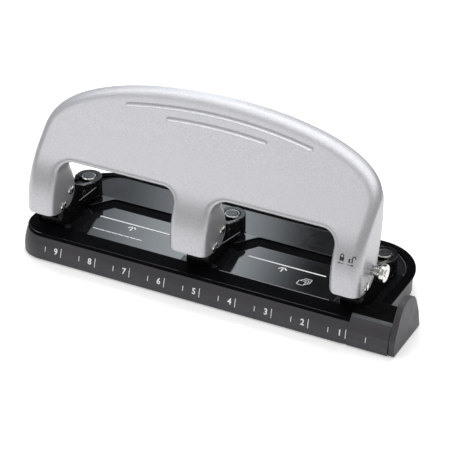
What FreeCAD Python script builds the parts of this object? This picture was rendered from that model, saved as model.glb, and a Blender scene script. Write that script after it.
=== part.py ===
import FreeCAD, Part
import math
import os

from FreeCAD import Placement, Rotation, Vector

# Three hole punch: a shallow tray with a pressed plate, three punch heads and one wide
# sheet handle that works all three heads.  Millimetres, +Z up, +X to the right, +Y to the
# rear.  The origin is the middle of the footprint, at table level.  Distances called
# "from_front" are measured rearwards from the front foot line of the tray.

doc = FreeCAD.newDocument("ThreeHolePunch")
sheet = doc.addObject("Spreadsheet::Sheet", "Dims")

DIMENSIONS = {
    # tray and plate
    "tray_depth": 100.0, "tray_left": -135.2, "tray_right": 116.5, "tray_wall": 2.2,
    "rim_left": -134.5, "rim_right": 119.1, "rim_lean": 4.0, "rear_lean": 1.5,
    "front_corner": 18.0, "rear_corner": 33.0, "tray_base": 0.8, "tray_top": 15.3,
    "tray_floor": 1.5, "rim_top": 17.5, "plate_top": 12.0, "plate_sheet": 1.5,
    "strip_depth": 13.5, "rim_width": 5.6, "groove_depth": 1.0, "groove_width": 10.5,
    "groove_centre": 67.7, "pan_inset": 4.1, "foot_radius": 7.0, "well_fillet": 2.6,
    "well_corner": 5.0, "ramp_front": 73.2, "ramp_top": 16.9,
    # chip drawer
    "drawer_length": 200.0, "drawer_depth": 74.0, "drawer_height": 6.2, "drawer_wall": 1.4,
    "drawer_gap": 0.5,
    # paper guide
    "housing_left": 103.5, "housing_right": 130.9, "housing_depth": 18.3,
    "housing_step": 111.2, "housing_far": 27.0, "housing_top": 20.3, "fin_width": 4.0,
    "fin_height": 31.4, "fin_depth": 41.3, "fin_gap": 0.3, "bar_length": 96.0,
    "bar_front": 6.8, "bar_depth": 6.0, "bar_height": 5.0,
    # punch heads
    "screw_line": 23.2, "screw_reach": 10.4, "screw_radius": 1.5, "screw_head": 2.0,
    "stop_radius": 1.9, "stop_reach": 6.5, "stop_lead": 4.0,
    "head_pitch": 107.95, "head_middle": -10.5, "head_half": 7.8, "slot_half": 4.8,
    "pin_axis": 70.0, "throat_back": 57.3, "throat_top": 15.0, "boss_radius": 8.8,
    "boss_top": 26.6, "boss_bore": 5.6, "guide_top": 16.6, "toe_half": 13.0, "toe_top": 14.6,
    "punch_radius": 3.5, "punch_length": 8.5, "cap_radius": 5.2, "cap_bottom": 23.4,
    "cap_top": 27.0, "die_radius": 6.5, "die_drop": 3.0, "spring_wire": 0.6,
    # handle, its pins and the lock
    "sheet_metal": 1.2, "leg_bottom": 29.8, "leg_front": 32.0, "face_front": 4.8,
    "face_straight": 5.7, "face_radius": 52.0, "face_lean": 45.5, "arch_reach": 105.0,
    "shoulder_reach": 57.7, "half_span": 118.2, "opening_near": 13.4, "opening_far": 97.6,
    "opening_top": 67.6, "opening_round": 10.0, "leg_wedge": 16.0, "pivot_y": 28.9,
    "pivot_z": 40.0, "pivot_radius": 2.4, "drive_y": 18.8, "drive_z": 33.2,
    "drive_radius": 2.2, "rivet_head": 3.0, "rivet_rise": 1.4, "fulcrum_y": 50.0,
    "fulcrum_z": 26.0, "fulcrum_radius": 2.0, "running_gap": 0.05, "knob_radius": 5.8,
    "knob_near": 3.2, "knob_far": 9.0, "neck_radius": 3.5,
}
for row, (alias, number) in enumerate(DIMENSIONS.items(), start=1):
    sheet.set("A%d" % row, alias)
    sheet.set("B%d" % row, str(number))
    sheet.setAlias("B%d" % row, alias)
doc.recompute()


def dim(alias):
    """The value of one driving dimension."""
    return float(sheet.get(alias))


def from_front(distance):
    """Y of a point that lies this far behind the front foot line."""
    return distance - dim("tray_depth") / 2


def yz(distance, height):
    """A point in a side view, as a sketch on the YZ plane takes it."""
    return (from_front(distance), height)


# ---------------------------------------------------------------- sketches and features

PLANES = {"XY": "XY_Plane", "XZ": "XZ_Plane", "YZ": "YZ_Plane"}


def new_body(label):
    body = doc.addObject("PartDesign::Body", label)
    body.Label = label
    return body


def new_sketch(body, plane, offset=0.0):
    """A sketch on one of the body's own origin planes, moved along its normal."""
    wanted = PLANES[plane]
    support = [f for f in body.Origin.OriginFeatures if f.Role == wanted][0]
    sketch = body.newObject("Sketcher::SketchObject", body.Label + "_sketch")
    sketch.AttachmentSupport = (support, [""])
    sketch.MapMode = "FlatFace"
    sketch.AttachmentOffset = Placement(Vector(0, 0, offset), Rotation())
    return sketch


def draw_outline(sketch, points, radii=None):
    """A closed outline through the points, with each corner rounded by its radius."""
    count = len(points)
    radii = radii or [0.0] * count
    corners = [Vector(p[0], p[1], 0) for p in points]
    ends = []
    for i, corner in enumerate(corners):
        before = (corners[i - 1] - corner).normalize()
        after = (corners[(i + 1) % count] - corner).normalize()
        if radii[i] <= 0:
            ends.append((corner, corner, None))
            continue
        half_angle = before.getAngle(after) / 2
        reach = radii[i] / math.tan(half_angle)
        start = corner + before * reach
        stop = corner + after * reach
        bisector = (before + after).normalize()
        middle = corner + bisector * (radii[i] / math.sin(half_angle) - radii[i])
        ends.append((start, stop, middle))
    for i in range(count):
        start, stop, middle = ends[i]
        if middle is not None:
            sketch.addGeometry(Part.Arc(start, middle, stop), False)
        following = ends[(i + 1) % count][0]
        if (following - stop).Length > 1e-6:
            sketch.addGeometry(Part.LineSegment(stop, following), False)


def pad(body, sketch, length, midplane=False, backwards=False):
    """Pad by an expression in the sheet's aliases."""
    feature = body.newObject("PartDesign::Pad", body.Label + "_pad")
    feature.Profile = sketch
    feature.setExpression("Length", length)
    feature.Midplane = midplane
    feature.Reversed = backwards
    body.Tip = feature
    return feature


def pocket(body, sketch, length, midplane=False, backwards=False):
    """Pocket by an expression, and make sure that it takes material away."""
    doc.recompute()
    before = body.Shape.Volume
    feature = body.newObject("PartDesign::Pocket", body.Label + "_pocket")
    feature.Profile = sketch
    feature.setExpression("Length", length)
    feature.Midplane = midplane
    feature.Reversed = backwards
    body.Tip = feature
    doc.recompute()
    if body.Shape.Volume >= before - 1e-3:
        raise RuntimeError(body.Label + ": a pocket cut nothing")
    return feature


def rectangle(left, right, low, high):
    return [(left, low), (right, low), (right, high), (left, high)]


def box_shape(low, high):
    size = [high[i] - low[i] for i in range(3)]
    return Part.makeBox(size[0], size[1], size[2], Vector(*low))


def cylinder_x(radius, left, right, distance, height):
    """A round bar along X."""
    start = Vector(left, from_front(distance), height)
    return Part.makeCylinder(radius, right - left, start, Vector(1, 0, 0))


def cylinder_z(radius, low, high, x, distance):
    """A round bar along Z."""
    return Part.makeCylinder(radius, high - low, Vector(x, from_front(distance), low))


def prism_x(points, left, right):
    """A side view outline, given as (from_front, z), drawn out along X."""
    corners = [Vector(left, from_front(d), z) for d, z in points]
    face = Part.Face(Part.makePolygon(corners + corners[:1]))
    return face.extrude(Vector(right - left, 0, 0))


def solid_node(label, shape):
    """A node whose shape comes from Part's own functions."""
    node = doc.addObject("Part::Feature", label)
    node.Label = label
    node.Shape = shape
    node.Placement = Placement(Vector(0, 0, 0), Rotation())
    return node


def fuse_all(shapes):
    result = shapes[0]
    for shape in shapes[1:]:
        result = result.fuse(shape)
    return result.removeSplitter()


HEADS = {
    "left": dim("head_middle") - dim("head_pitch"),
    "centre": dim("head_middle"),
    "right": dim("head_middle") + dim("head_pitch"),
}

# ---------------------------------------------------------------- tray


def tray_wire(z, left, right, front, rear, inset=0.0):
    """The tray's plan outline at one height: rounded corners, larger at the rear."""
    left, right = left + inset, right - inset
    front, rear = front + inset, rear - inset
    near = dim("front_corner") - inset
    far = dim("rear_corner") - inset
    edges = []
    spots = [
        (left, front, near, 1, 1), (right, front, near, -1, 1),
        (right, rear, far, -1, -1), (left, rear, far, 1, -1),
    ]
    root = 1 - math.sqrt(0.5)
    joints = []
    for x, y, radius, sx, sy in spots:
        across = Vector(x, y + sy * radius, z)
        along = Vector(x + sx * radius, y, z)
        middle = Vector(x + sx * radius * root, y + sy * radius * root, z)
        joints.append((across, middle, along) if sx * sy > 0 else (along, middle, across))
    for i, (start, middle, stop) in enumerate(joints):
        edges.append(Part.Arc(start, middle, stop).toShape())
        edges.append(Part.LineSegment(stop, joints[(i + 1) % 4][0]).toShape())
    return Part.Wire(edges)


HALF_DEPTH = dim("tray_depth") / 2
TRAY_LEVELS = [(0.0, 0.0), (0.35, 0.04), (0.7, 0.36), (1.0, 1.0)]


def tray_body(inset, low, high):
    """The tray's outside, or a solid a wall's thickness inside it."""
    wires = []
    for share, lean in TRAY_LEVELS:
        z = low + share * (high - low)
        wires.append(tray_wire(
            z,
            dim("tray_left") + lean * (dim("rim_left") - dim("tray_left")),
            dim("tray_right") + lean * (dim("rim_right") - dim("tray_right")),
            -HALF_DEPTH + lean * dim("rim_lean"),
            HALF_DEPTH - lean * dim("rear_lean"),
            inset,
        ))
    return Part.makeLoft(wires, True, False)


def make_tray():
    wall = dim("tray_wall")
    base, top = dim("tray_base"), dim("tray_top")
    outer = tray_body(0.0, base, top)
    inner = tray_body(wall, base, top)
    inner = inner.common(box_shape(
        (-200, -100, base + dim("tray_floor")), (200, 100, top + 5)))
    shell = outer
    for left, depth in housing_steps():
        shell = shell.fuse(prism_x(
            [(0.0, base), (0.15, 6.0), (1.4, 11.0), (3.9, top), (depth, top), (depth, base)],
            left, dim("housing_right")))
    shell = shell.cut(inner)
    hollow = box_shape(
        (dim("housing_left") - 6, from_front(5.0), base + dim("tray_floor")),
        (dim("housing_right") + 1, from_front(14.5), base + dim("tray_floor") + 8.2))
    shell = shell.cut(hollow)
    half = dim("drawer_length") / 2 + dim("drawer_gap")
    middle = dim("head_middle")
    doorway = box_shape(
        (middle - half, 20.0, base + dim("tray_floor")),
        (middle + half, HALF_DEPTH + 5, base + dim("tray_floor") + dim("drawer_height") + 1.0))
    shell = shell.cut(doorway)
    for x, y in foot_spots():
        shell = shell.cut(Part.makeCylinder(dim("foot_radius") + 0.2, 0.8, Vector(x, y, 0)))
    return solid_node("base_tray", shell.removeSplitter())


def housing_steps():
    """The raised corner in plan: where each step starts, and how far back it runs."""
    return [
        (dim("housing_left"), dim("housing_depth")),
        (dim("housing_step"), dim("housing_far")),
    ]


def foot_spots():
    """Centres of the rubber feet under the tray."""
    return [(x, y) for x in (-112.0, -8.0, 94.0) for y in (-36.0, 34.0)]


def make_feet():
    feet = [Part.makeCylinder(dim("foot_radius"), dim("tray_base"), Vector(x, y, 0))
            for x, y in foot_spots()]
    return solid_node("rubber_feet", Part.makeCompound(feet))


# ---------------------------------------------------------------- plate


def groove_path(start, stop, from_head, to_head):
    """Centre line of the pressed groove in one bay, bending forward at each head."""
    y = from_front(dim("groove_centre"))
    near = from_front(53.0)
    points = []
    if from_head:
        points += [Vector(start, near, 0), Vector(start + 11.0, y, 0)]
    else:
        points += [Vector(start, y, 0)]
    if to_head:
        points += [Vector(stop - 11.0, y, 0), Vector(stop, near, 0)]
    else:
        points += [Vector(stop, y, 0)]
    return points


def groove_solid(points):
    """A flat bottomed channel of the groove's width along a path of straight runs."""
    z = dim("plate_top") - dim("groove_depth")
    half = dim("groove_width") / 2
    pieces = []
    for a, b in zip(points, points[1:]):
        along = (b - a).normalize()
        side = Vector(-along.y, along.x, 0) * half
        corners = [a + side, b + side, b - side, a - side]
        corners = [Vector(c.x, c.y, z) for c in corners]
        face = Part.Face(Part.makePolygon(corners + corners[:1]))
        pieces.append(face.extrude(Vector(0, 0, 4)))
    for p in points[1:-1]:
        pieces.append(Part.makeCylinder(half, 4, Vector(p.x, p.y, z)))
    return fuse_all(pieces)


def groove_paths():
    side = dim("head_half") + 2.0
    left, centre, right = HEADS["left"], HEADS["centre"], HEADS["right"]
    return [
        groove_path(left + side, centre - side, True, True),
        groove_path(centre + side, right - side, True, True),
    ]


def make_plate():
    """The pressed plate: raised rim, flat well, and a ramp up to the rear rim."""
    low = dim("plate_top") - dim("plate_sheet")
    top = dim("rim_top")
    front = -HALF_DEPTH + dim("rim_lean")
    rear = HALF_DEPTH - dim("rear_lean")
    left, right = dim("rim_left"), dim("rim_right")

    def outline(z, inset):
        return Part.Face(tray_wire(z, left, right, front, rear, inset))

    lip = outline(dim("tray_top") + 0.05, 0.0).extrude(Vector(0, 0, top - dim("tray_top") - 0.05))
    upper = [e for e in lip.Edges if e.BoundBox.ZMin > top - 0.01]
    lip = lip.makeFillet(1.3, upper)
    pan = outline(low, dim("pan_inset")).extrude(Vector(0, 0, top - low - 1.0))
    solid = lip.fuse(pan)
    width = dim("rim_width")
    well_front = front + dim("strip_depth")
    corner = dim("well_corner")
    far = dim("rear_corner") - width
    spots = [(left + width, well_front), (right - width, well_front),
             (right - width, rear - width), (left + width, rear - width)]
    well = rounded_prism(spots, [corner, corner, far, far], dim("plate_top"), 10.0)
    floor_edges = [e for e in well.Edges if e.BoundBox.ZMax < dim("plate_top") + 0.01]
    well = well.makeFillet(dim("well_fillet"), floor_edges)
    solid = solid.cut(well)
    skin = dim("plate_sheet")
    ring_out = outline(low - 1, dim("pan_inset") + skin).extrude(
        Vector(0, 0, top - skin - low + 1))
    inner_spots = [
        (left + width - skin, well_front - skin), (right - width + skin, well_front - skin),
        (right - width + skin, rear - width + skin), (left + width - skin, rear - width + skin),
    ]
    keep = rounded_prism(
        inner_spots, [corner + skin] * 2 + [far + skin] * 2, low - 2, 20.0)
    solid = solid.cut(ring_out.cut(keep))
    ramp_front, ramp_top = dim("ramp_front"), dim("ramp_top")
    ramp_rear = rear - width + HALF_DEPTH
    level = dim("plate_top")
    ramp = prism_x([(ramp_front, level), (ramp_rear, level), (ramp_rear, ramp_top)], left, right)
    solid = solid.fuse(ramp.common(well))
    solid_run = 8.0
    hollow_front = ramp_front + solid_run
    slope = (ramp_top - level) / (ramp_rear - ramp_front)
    under = prism_x([
        (hollow_front, low - 1), (ramp_rear, low - 1), (ramp_rear, ramp_top - skin),
        (hollow_front, level + slope * solid_run - skin)], left, right)
    solid = solid.cut(under.common(rounded_prism(
        spots, [corner, corner, far, far], low - 1, 20.0)))
    for points in groove_paths():
        solid = solid.cut(groove_solid(points))
    for start, depth in housing_steps():
        solid = solid.cut(box_shape(
            (start - 0.3, -100, low - 1), (200, from_front(depth + 0.3), 40)))
    for x in HEADS.values():
        hole = cylinder_z(dim("die_radius") + 0.02, low - 1, top, x, dim("pin_axis"))
        solid = solid.cut(hole)
    return solid_node("base_plate", solid.removeSplitter())


def rounded_prism(spots, radii, low, height):
    """An upright prism over a four cornered outline with rounded corners."""
    count = len(spots)
    edges = []
    ends = []
    for i, (x, y) in enumerate(spots):
        corner = Vector(x, y, low)
        before = (Vector(*spots[i - 1], low) - corner).normalize()
        after = (Vector(*spots[(i + 1) % count], low) - corner).normalize()
        half_angle = before.getAngle(after) / 2
        reach = radii[i] / math.tan(half_angle)
        bisector = (before + after).normalize()
        middle = corner + bisector * (radii[i] / math.sin(half_angle) - radii[i])
        ends.append((corner + before * reach, middle, corner + after * reach))
    for i, (start, middle, stop) in enumerate(ends):
        edges.append(Part.Arc(start, middle, stop).toShape())
        edges.append(Part.LineSegment(stop, ends[(i + 1) % count][0]).toShape())
    return Part.Face(Part.Wire(edges)).extrude(Vector(0, 0, height))


# ---------------------------------------------------------------- chip drawer and guide


def make_drawer():
    """A shallow open box behind the doorway in the tray's rear wall."""
    body = new_body("chip_drawer")
    half = dim("drawer_length") / 2
    middle = dim("head_middle")
    floor = dim("tray_base") + dim("tray_floor") + 0.2
    rear = HALF_DEPTH - 0.2
    sketch = new_sketch(body, "XY", floor)
    draw_outline(sketch, rectangle(middle - half, middle + half, rear - dim("drawer_depth"), rear))
    pad(body, sketch, "Dims.drawer_height")
    inside = new_sketch(body, "XY", floor + dim("drawer_height"))
    wall = dim("drawer_wall")
    draw_outline(inside, rectangle(
        middle - half + wall, middle + half - wall,
        rear - dim("drawer_depth") + wall, rear - 2 * wall))
    pocket(body, inside, "Dims.drawer_height - Dims.drawer_wall")
    grip = new_sketch(body, "XZ", -(rear + 1))
    draw_outline(grip, rectangle(middle - 16, middle + 16, floor + 1.6, floor + 5.4))
    pocket(body, grip, "2.2 mm", midplane=True)
    return body


def make_housing():
    """The raised cover over the guide's corner of the tray."""
    body = new_body("guide_housing")
    base = dim("tray_top") + 0.05
    top = dim("housing_top")
    for start, depth in housing_steps():
        sketch = new_sketch(body, "YZ", start)
        draw_outline(
            sketch, [yz(3.9, base), yz(depth, base), yz(depth, top), yz(7.6, top)],
            [0, 0, 1.2, 9.0])
        length = dim("housing_right") - start
        pad(body, sketch, "%.4f mm" % length)
    return body


def make_fin():
    """The end plate that the paper's edge stops against."""
    body = new_body("guide_fin")
    sketch = new_sketch(body, "YZ", dim("housing_right") + dim("fin_gap"))
    base = dim("tray_base")
    draw_outline(sketch, [
        yz(1.0, base), yz(0.9, 11.0), yz(13.0, dim("fin_height")), yz(30.5, dim("fin_height")),
        yz(38.2, 14.0), yz(dim("fin_depth"), base),
    ], [0, 13.0, 13.6, 13.6, 12.0, 0])
    pad(body, sketch, "Dims.fin_width")
    return body


def make_bar():
    """The slide bar that carries the fin, running under the front strip."""
    body = new_body("guide_bar")
    right = dim("housing_right") + dim("fin_gap")
    low = dim("tray_base") + dim("tray_floor") + 1.4
    front = from_front(dim("bar_front"))
    sketch = new_sketch(body, "YZ", right)
    draw_outline(
        sketch, rectangle(front, front + dim("bar_depth"), low, low + dim("bar_height")),
        [0.8] * 4)
    pad(body, sketch, "Dims.bar_length", backwards=True)
    return body


# ---------------------------------------------------------------- punch heads


def make_head(side, x):
    """One black casting: toe and foot on the plate, two ears, throat and punch boss."""
    half, slot = dim("head_half"), dim("slot_half")
    plate = dim("plate_top")
    axis = dim("pin_axis")
    cheek = prism_x([
        (20.4, plate), (dim("throat_back"), plate), (dim("throat_back"), dim("throat_top")),
        (axis - 2, dim("throat_top")), (axis - 2, 25.0), (58.0, 29.0), (51.0, 31.2), (40.0, 38.0),
        (34.5, 43.2), (31.0, 45.4), (27.0, 45.4), (23.6, 43.2), (22.9, 39.0), (24.0, 30.0),
        (21.2, 22.0), (20.4, 18.0),
    ], x - half, x + half)
    toe = prism_x([(20.4, plate), (28.6, plate), (27.6, dim("toe_top")), (20.8, dim("toe_top"))],
                  x - toe_reach(x), x + dim("toe_half"))
    boss = cylinder_z(dim("boss_radius"), dim("throat_top"), dim("boss_top"), x, axis)
    stop_x, stop_y = x - dim("stop_reach"), from_front(axis - dim("stop_lead"))
    stop = Part.makeSphere(dim("stop_radius"), Vector(stop_x, stop_y, dim("boss_top")))
    head = cheek.fuse(toe).fuse(boss).fuse(stop)
    room = prism_x([
        (0, 22.0), (40.0, 20.2), (54.0, 20.2), (axis, 20.2), (axis, 40.0), (40.0, 60.0),
        (0, 60.0),
    ], x - slot, x + slot)
    head = head.cut(room)
    bore = cylinder_z(dim("boss_bore"), dim("guide_top"), 60, x, axis)
    guide = cylinder_z(dim("punch_radius") + dim("running_gap"), plate, 60, x, axis)
    head = head.cut(bore).cut(guide)
    pivot = cylinder_x(dim("pivot_radius") + dim("running_gap"), x - 20, x + 20,
                       dim("pivot_y"), dim("pivot_z"))
    fulcrum = cylinder_x(dim("fulcrum_radius") + 0.01, x - 20, x + 20,
                         dim("fulcrum_y"), dim("fulcrum_z"))
    head = head.cut(pivot).cut(fulcrum)
    screw_hole = cylinder_z(
        dim("screw_radius") + 0.02, 0, 60, x + dim("screw_reach"), dim("screw_line"))
    head = head.cut(screw_hole)
    return solid_node("head_" + side, head.removeSplitter())


def toe_reach(x):
    """How far the toe runs to the left: the left head stands close to the rim."""
    room = x - dim("rim_left") - dim("rim_width") - dim("well_fillet") - 0.6
    return min(dim("toe_half"), room)


def make_screws():
    """One domed screw through the right end of each toe."""
    screws = []
    low, seat = dim("plate_top") + 0.05, dim("toe_top")
    for x in HEADS.values():
        spot, line = x + dim("screw_reach"), dim("screw_line")
        stem = cylinder_z(dim("screw_radius"), low, seat + 0.5, spot, line)
        cap = cylinder_z(dim("screw_head"), seat + 0.02, seat + 1.2, spot, line)
        rim = [e for e in cap.Edges if e.BoundBox.ZMin > seat + 1.1]
        cap = cap.makeFillet(0.6, rim)
        screws.append(stem.fuse(cap).removeSplitter())
    return solid_node("toe_screws", Part.makeCompound(screws))


def make_die(side, x):
    """The hardened ring under the plate that the punch enters."""
    axis = dim("pin_axis")
    low = dim("plate_top") - dim("die_drop")
    ring = cylinder_z(dim("die_radius"), low, dim("plate_top") - 0.05, x, axis)
    hole = cylinder_z(dim("punch_radius") + dim("running_gap"), low - 1, 30, x, axis)
    return solid_node("die_" + side, ring.cut(hole))


def make_punch(side, x):
    """The punch: a round pin with a hollow-ground end."""
    axis = dim("pin_axis")
    low = dim("throat_top") + 0.3
    pin = cylinder_z(dim("punch_radius"), low, low + dim("punch_length"), x, axis)
    notch = Part.makeCylinder(
        12.0, 20, Vector(x - 10, from_front(axis), low - 11.1), Vector(1, 0, 0))
    return solid_node("punch_" + side, pin.cut(notch))


def make_cap(side, x):
    """The cap that the rocker's nose works in, on top of the punch."""
    axis = dim("pin_axis")
    low, top = dim("cap_bottom"), dim("cap_top")
    cap = cylinder_z(dim("cap_radius"), low, top, x, axis)
    rim = [e for e in cap.Edges if e.BoundBox.ZMin > top - 0.01]
    cap = cap.makeChamfer(0.7, rim)
    dish = cylinder_z(dim("cap_radius") - 1.7, top - 0.4, top + 1, x, axis)
    socket = cylinder_z(dim("punch_radius") + 0.01, low - 1, low + 0.4, x, axis)
    mouth = box_shape(
        (x - 2.4, from_front(axis - 8), low + 0.45), (x + 2.4, from_front(axis + 1.4), top - 0.6))
    return solid_node("punch_cap_" + side, cap.cut(dish).cut(socket).cut(mouth))


def make_spring(side, x):
    """The return spring round the punch, between the guide and the cap."""
    axis = dim("pin_axis")
    wire = dim("spring_wire") / 2
    low = dim("guide_top") + wire + 0.1
    high = dim("cap_bottom") - wire - 0.1
    radius = dim("punch_radius") + wire + 0.4
    helix = Part.makeHelix((high - low) / 3.0, high - low, radius)
    circle = Part.Wire(Part.makeCircle(wire, Vector(radius, 0, 0), Vector(0, 1, 0)))
    coil = Part.Wire(helix.Edges).makePipeShell([circle], True, True)
    shift = FreeCAD.Matrix()
    shift.move(Vector(x, from_front(axis), low))
    return solid_node("return_spring_" + side, coil.transformGeometry(shift))


def make_rocker(side, x):
    """The lever inside a head: fork on the drive pin, eye on the fulcrum, nose in the cap."""
    half = dim("slot_half") - 0.5
    cy, cz = dim("fulcrum_y"), dim("fulcrum_z")

    def place(points):
        return [(cy + u, cz + w) for u, w in points]

    arm = prism_x(place([
        (-38.2, 2.9), (-30.0, 1.0), (-12.0, -3.2), (0.0, -4.0), (4.0, -3.2), (12.0, -2.9),
        (14.2, -2.0), (14.2, -0.9), (4.6, 1.6), (3.0, 3.4), (-4.0, 4.0), (-20.0, 4.8),
        (-26.8, 5.2), (-26.9, 10.4), (-38.2, 10.9),
    ]), x - half, x + half)
    nose = prism_x(place([
        (11.5, -2.6), (14.5, -2.0), (19.0, -1.6), (20.2, -1.5), (20.2, -0.7), (18.6, -0.7),
        (14.5, -1.1), (11.5, -1.5),
    ]), x - 2.0, x + 2.0)
    slot_run, slot_rise = 12.0, 0.203
    gap = dim("drive_radius") + 0.3
    near, level = dim("drive_y") - cy, dim("drive_z") - cz
    mouth, drop = near - slot_run, level - slot_run * slot_rise
    slot = prism_x(place([
        (near, level - gap), (near, level + gap), (mouth, drop + gap), (mouth, drop - gap),
    ]), x - 20, x + 20)
    end = cylinder_x(gap, x - 20, x + 20, dim("drive_y"), dim("drive_z"))
    eye = cylinder_x(dim("fulcrum_radius") + dim("running_gap"), x - 20, x + 20, cy, cz)
    rocker = arm.fuse(nose).cut(slot).cut(end).cut(eye)
    return solid_node("rocker_" + side, rocker.removeSplitter())


def make_fulcrum(side, x):
    half = dim("head_half")
    pin = cylinder_x(dim("fulcrum_radius"), x - half, x + half, dim("fulcrum_y"), dim("fulcrum_z"))
    return solid_node("fulcrum_pin_" + side, pin)


# ---------------------------------------------------------------- handle


def face_point(reach):
    """(from_front, z) of the handle's outer face at a distance along its bent height."""
    straight = dim("face_straight")
    radius = dim("face_radius")
    lean = math.radians(dim("face_lean"))
    start = Vector(dim("face_front"), dim("leg_bottom"), 0)
    if reach <= straight:
        return start.x, start.y + reach
    turned = min((reach - straight) / radius, lean)
    y = start.x + radius * (1 - math.cos(turned))
    z = start.y + straight + radius * math.sin(turned)
    beyond = reach - straight - radius * lean
    if beyond > 0:
        y += beyond * math.sin(lean)
        z += beyond * math.cos(lean)
    return y, z


def half_width(reach):
    """Half the handle's width at a distance along its bent height."""
    shoulder = dim("shoulder_reach")
    share = max(0.0, reach - shoulder) / (dim("arch_reach") - shoulder)
    return dim("half_span") * math.sqrt(max(0.0, 1 - share ** 2.45))


def front_wire(offset):
    """Side view of the outer face moved rearwards, as edges from bottom to top."""
    straight = dim("face_straight")
    lean = math.radians(dim("face_lean"))
    radius = dim("face_radius") - offset
    y0, z0 = dim("face_front") + offset, dim("leg_bottom") + straight
    foot = Vector(0, from_front(y0), z0 - 40)
    bend = Vector(0, from_front(y0), z0)

    def along(turn):
        forward = from_front(y0 + radius * (1 - math.cos(turn)))
        return Vector(0, forward, z0 + radius * math.sin(turn))

    half, full = along(lean / 2), along(lean)
    tip = full + Vector(0, math.sin(lean), math.cos(lean)) * 90
    return [
        Part.LineSegment(foot, bend).toShape(),
        Part.Arc(bend, half, full).toShape(),
        Part.LineSegment(full, tip).toShape(),
    ]


def behind_face(offset, left, right):
    """Everything behind the handle's face, out to a far plane."""
    edges = front_wire(offset)
    foot = edges[0].Vertexes[0].Point
    tip = edges[-1].Vertexes[-1].Point
    far = from_front(150)
    edges.append(Part.LineSegment(tip, Vector(0, far, tip.z)).toShape())
    edges.append(Part.LineSegment(Vector(0, far, tip.z), Vector(0, far, foot.z)).toShape())
    edges.append(Part.LineSegment(Vector(0, far, foot.z), foot).toShape())
    face = Part.Face(Part.Wire(Part.__sortEdges__(edges)))
    face.translate(Vector(left, 0, 0))
    return face.extrude(Vector(right - left, 0, 0))


def arch_points(inset, count):
    """Points up the right half of the arch, from its shoulder to its crown, moved inwards."""
    shoulder = dim("shoulder_reach")
    climb = dim("arch_reach") - shoulder
    points = []
    for i in range(count + 1):
        turn = math.pi / 2 * i / count
        ahead, behind = turn + 1e-4, turn - 1e-4
        spots = []
        for angle in (behind, turn, ahead):
            reach = shoulder + climb * math.sin(angle)
            width = half_width(reach) if angle <= math.pi / 2 else -half_width(reach)
            spots.append(Vector(width, 0, face_point(reach)[1]))
        tangent = (spots[2] - spots[0]).normalize()
        if i == 0:
            tangent = Vector(0, 0, 1)
        if i == count:
            tangent = Vector(-1, 0, 0)
        points.append(spots[1] - Vector(tangent.z, 0, -tangent.x) * inset)
    return points


def outline_prism(inset, middle):
    """The handle's front view, drawn out along Y: straight legs under a round arch."""
    bottom = dim("leg_bottom") + (0 if inset == 0 else -20)
    climb = arch_points(inset, 10)
    right = [Vector(middle + p.x, -60, p.z) for p in climb]
    left = [Vector(middle - p.x, -60, p.z) for p in reversed(climb)]
    edges = []
    for side in (right, left):
        for i in range(0, len(side) - 1, 2):
            edges.append(Part.Arc(side[i], side[i + 1], side[i + 2]).toShape())
    span = dim("half_span") - inset
    feet = [Vector(middle - span, -60, bottom), Vector(middle + span, -60, bottom)]
    chain = [left[-1]] + feet + [right[0]]
    edges += [Part.LineSegment(a, b).toShape() for a, b in zip(chain, chain[1:])]
    face = Part.Face(Part.Wire(Part.__sortEdges__(edges)))
    return face.extrude(Vector(0, 200, 0))


def opening_prism(near, far, grow, middle, side):
    """One finger opening, drawn out along Y and open at the bottom."""
    low, top = dim("leg_bottom") - 30, dim("opening_top") + grow
    inner = middle + side * (near - grow)
    outer = middle + side * (far + grow)
    left, right = min(inner, outer), max(inner, outer)
    radius = dim("opening_round") + grow
    root = radius * (1 - math.sqrt(0.5))
    a = Vector(left, -60, low)
    b = Vector(left, -60, top - radius)
    c = Vector(left + radius, -60, top)
    d = Vector(right - radius, -60, top)
    e = Vector(right, -60, top - radius)
    f = Vector(right, -60, low)
    edges = [
        Part.LineSegment(a, b).toShape(),
        Part.Arc(b, Vector(left + root, -60, top - root), c).toShape(),
        Part.LineSegment(c, d).toShape(),
        Part.Arc(d, Vector(right - root, -60, top - root), e).toShape(),
        Part.LineSegment(e, f).toShape(),
        Part.LineSegment(f, a).toShape(),
    ]
    return Part.Face(Part.Wire(edges)).extrude(Vector(0, 200, 0))


def flange_room(points, middle):
    """Side view region in front of a flange's rear edge, across the whole handle."""
    corners = [Vector(middle - 130, from_front(d), z) for d, z in points]
    curve = Part.BSplineCurve()
    curve.interpolate(corners)
    first, last = corners[0], corners[-1]
    front = from_front(-20)
    edges = [
        curve.toShape(),
        Part.LineSegment(last, Vector(last.x, front, last.z)).toShape(),
        Part.LineSegment(Vector(last.x, front, last.z), Vector(first.x, front, first.z)).toShape(),
        Part.LineSegment(Vector(first.x, front, first.z), first).toShape(),
    ]
    face = Part.Face(Part.Wire(Part.__sortEdges__(edges)))
    return face.extrude(Vector(260, 0, 0))


OUTER_FLANGE = [
    (21.0, 28.0), (29.0, 32.0), (34.0, 38.0), (36.0, 48.0), (39.5, 60.0), (41.0, 71.0),
    (40.5, 80.0), (43.8, 89.0), (55.9, 101.0), (72.2, 117.0),
]
INNER_FLANGE = [
    (21.0, 28.0), (29.5, 30.5), (33.8, 36.0), (34.6, 42.0), (33.0, 50.0), (29.0, 58.0),
    (26.0, 66.0), (27.5, 74.0), (34.0, 82.0),
]


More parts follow.
